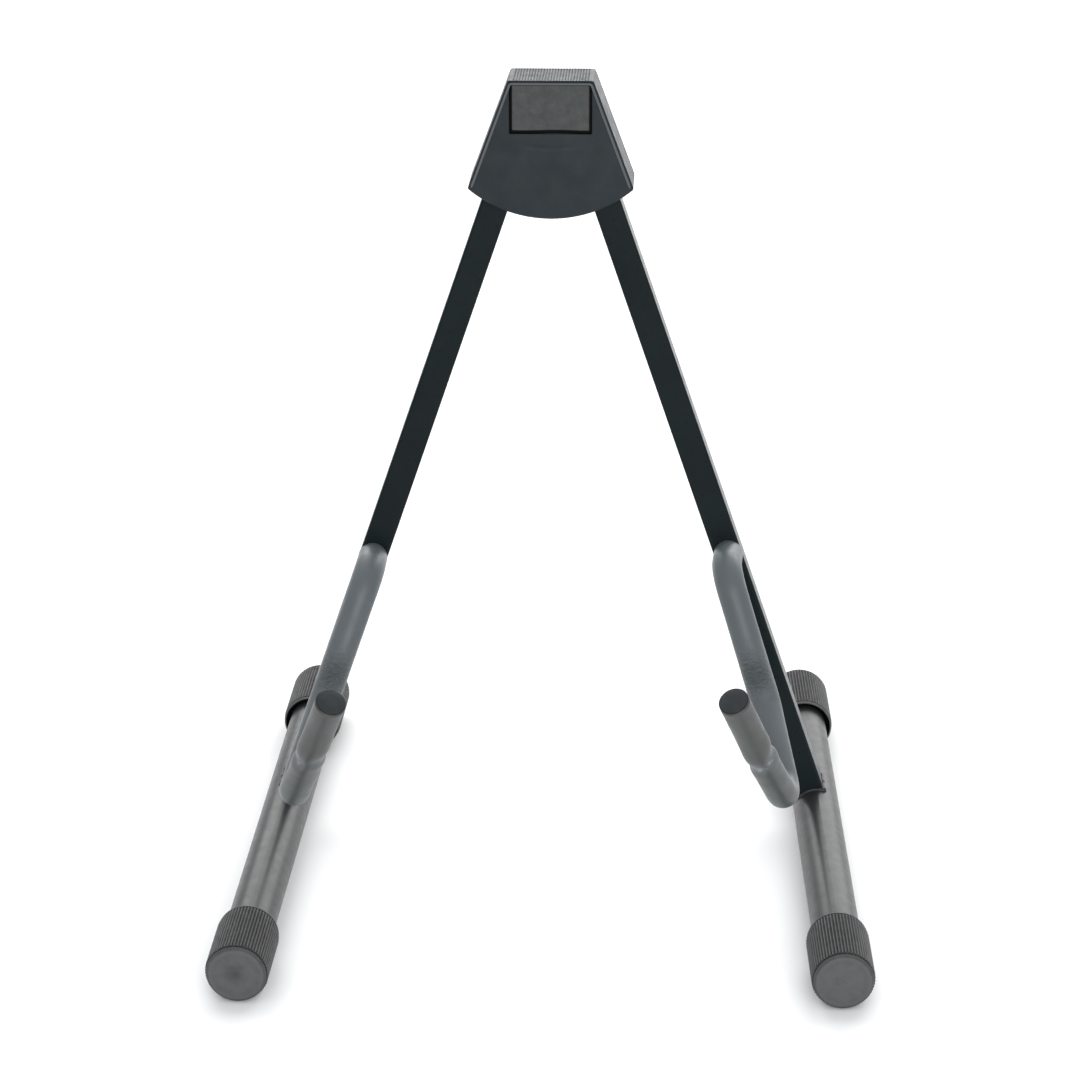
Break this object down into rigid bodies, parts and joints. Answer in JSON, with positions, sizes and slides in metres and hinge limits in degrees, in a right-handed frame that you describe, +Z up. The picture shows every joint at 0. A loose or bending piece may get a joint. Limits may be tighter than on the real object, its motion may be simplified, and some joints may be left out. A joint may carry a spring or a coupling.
{
  "type": "folding A-frame guitar stand",
  "caption": "Folding A-frame floor stand for a guitar: geared head with a leaning pad, splayed legs with sleeved cradle arms, round feet with ribbed caps.",
  "frame": {"origin": "on the floor, at the centre of the footprint", "axes": "+Z up, -Y the front where the instrument stands, +X to the right of someone facing the front; the legs' plane leans back by 8 degrees"},
  "size_m": [0.3414, 0.342, 0.4166],
  "materials": {
    "head_plastic": "satin moulded black, ribbed band",
    "pad_rubber": "fine-grained, matt",
    "powder_coat": "semi-gloss black powder coat",
    "tube_enamel": "gloss black",
    "cap_rubber": "matt, ribbed",
    "sleeve_pvc": "satin grey soft tube",
    "plug_plastic": "satin",
    "rod_steel": "bright drawn",
    "zinc_steel": "zinc plated",
    "black_steel": "black oxide",
    "spring_steel": "bright wire",
    "nylon": "natural"
  },
  "bodies": {
    "head": {"head_front_cover": "head_plastic", "head_rear_cover": "head_plastic", "head_pad": "pad_rubber", "cover_screws": "black_steel", "pivot_nuts": "zinc_steel", "pivot_washers": "black_steel", "left_pivot_bolt": "black_steel", "right_pivot_bolt": "black_steel", "tension_spring": "spring_steel"},
    "left_leg": {"left_leg_tube": "powder_coat", "left_leg_bushes": "nylon", "left_gear_sector": "zinc_steel", "left_sector_rivets": "zinc_steel", "left_spring_post": "zinc_steel", "left_foot_tube": "tube_enamel", "left_front_cap": "cap_rubber", "left_rear_cap": "cap_rubber", "left_support_rod": "rod_steel", "left_support_sleeve": "sleeve_pvc", "left_tip_plug": "plug_plastic"},
    "right_leg": {"right_leg_tube": "powder_coat", "right_leg_bushes": "nylon", "right_gear_sector": "zinc_steel", "right_sector_rivets": "zinc_steel", "right_spring_post": "zinc_steel", "right_foot_tube": "tube_enamel", "right_front_cap": "cap_rubber", "right_rear_cap": "cap_rubber", "right_support_rod": "rod_steel", "right_support_sleeve": "sleeve_pvc", "right_tip_plug": "plug_plastic"}
  },
  "joints": [
    {"name": "left_fold", "type": "hinge", "parent": "head", "child": "left_leg", "pos_m": [-0.017, 0.0812, 0.38442], "axis": [0, -0.9903, 0.1392], "range_deg": [0, 19], "stiffness_Nm_per_rad": 0.3, "springref_deg": -28.65, "deforming": ["tension_spring"]},
    {"name": "right_fold", "type": "hinge", "parent": "head", "child": "right_leg", "pos_m": [0.017, 0.0812, 0.38442], "axis": [0, -0.9903, 0.1392], "range_deg": [-19, 0]}
  ],
  "couplings": [
    {"joint": "right_fold", "follows": "left_fold", "ratio": -1}
  ]
}
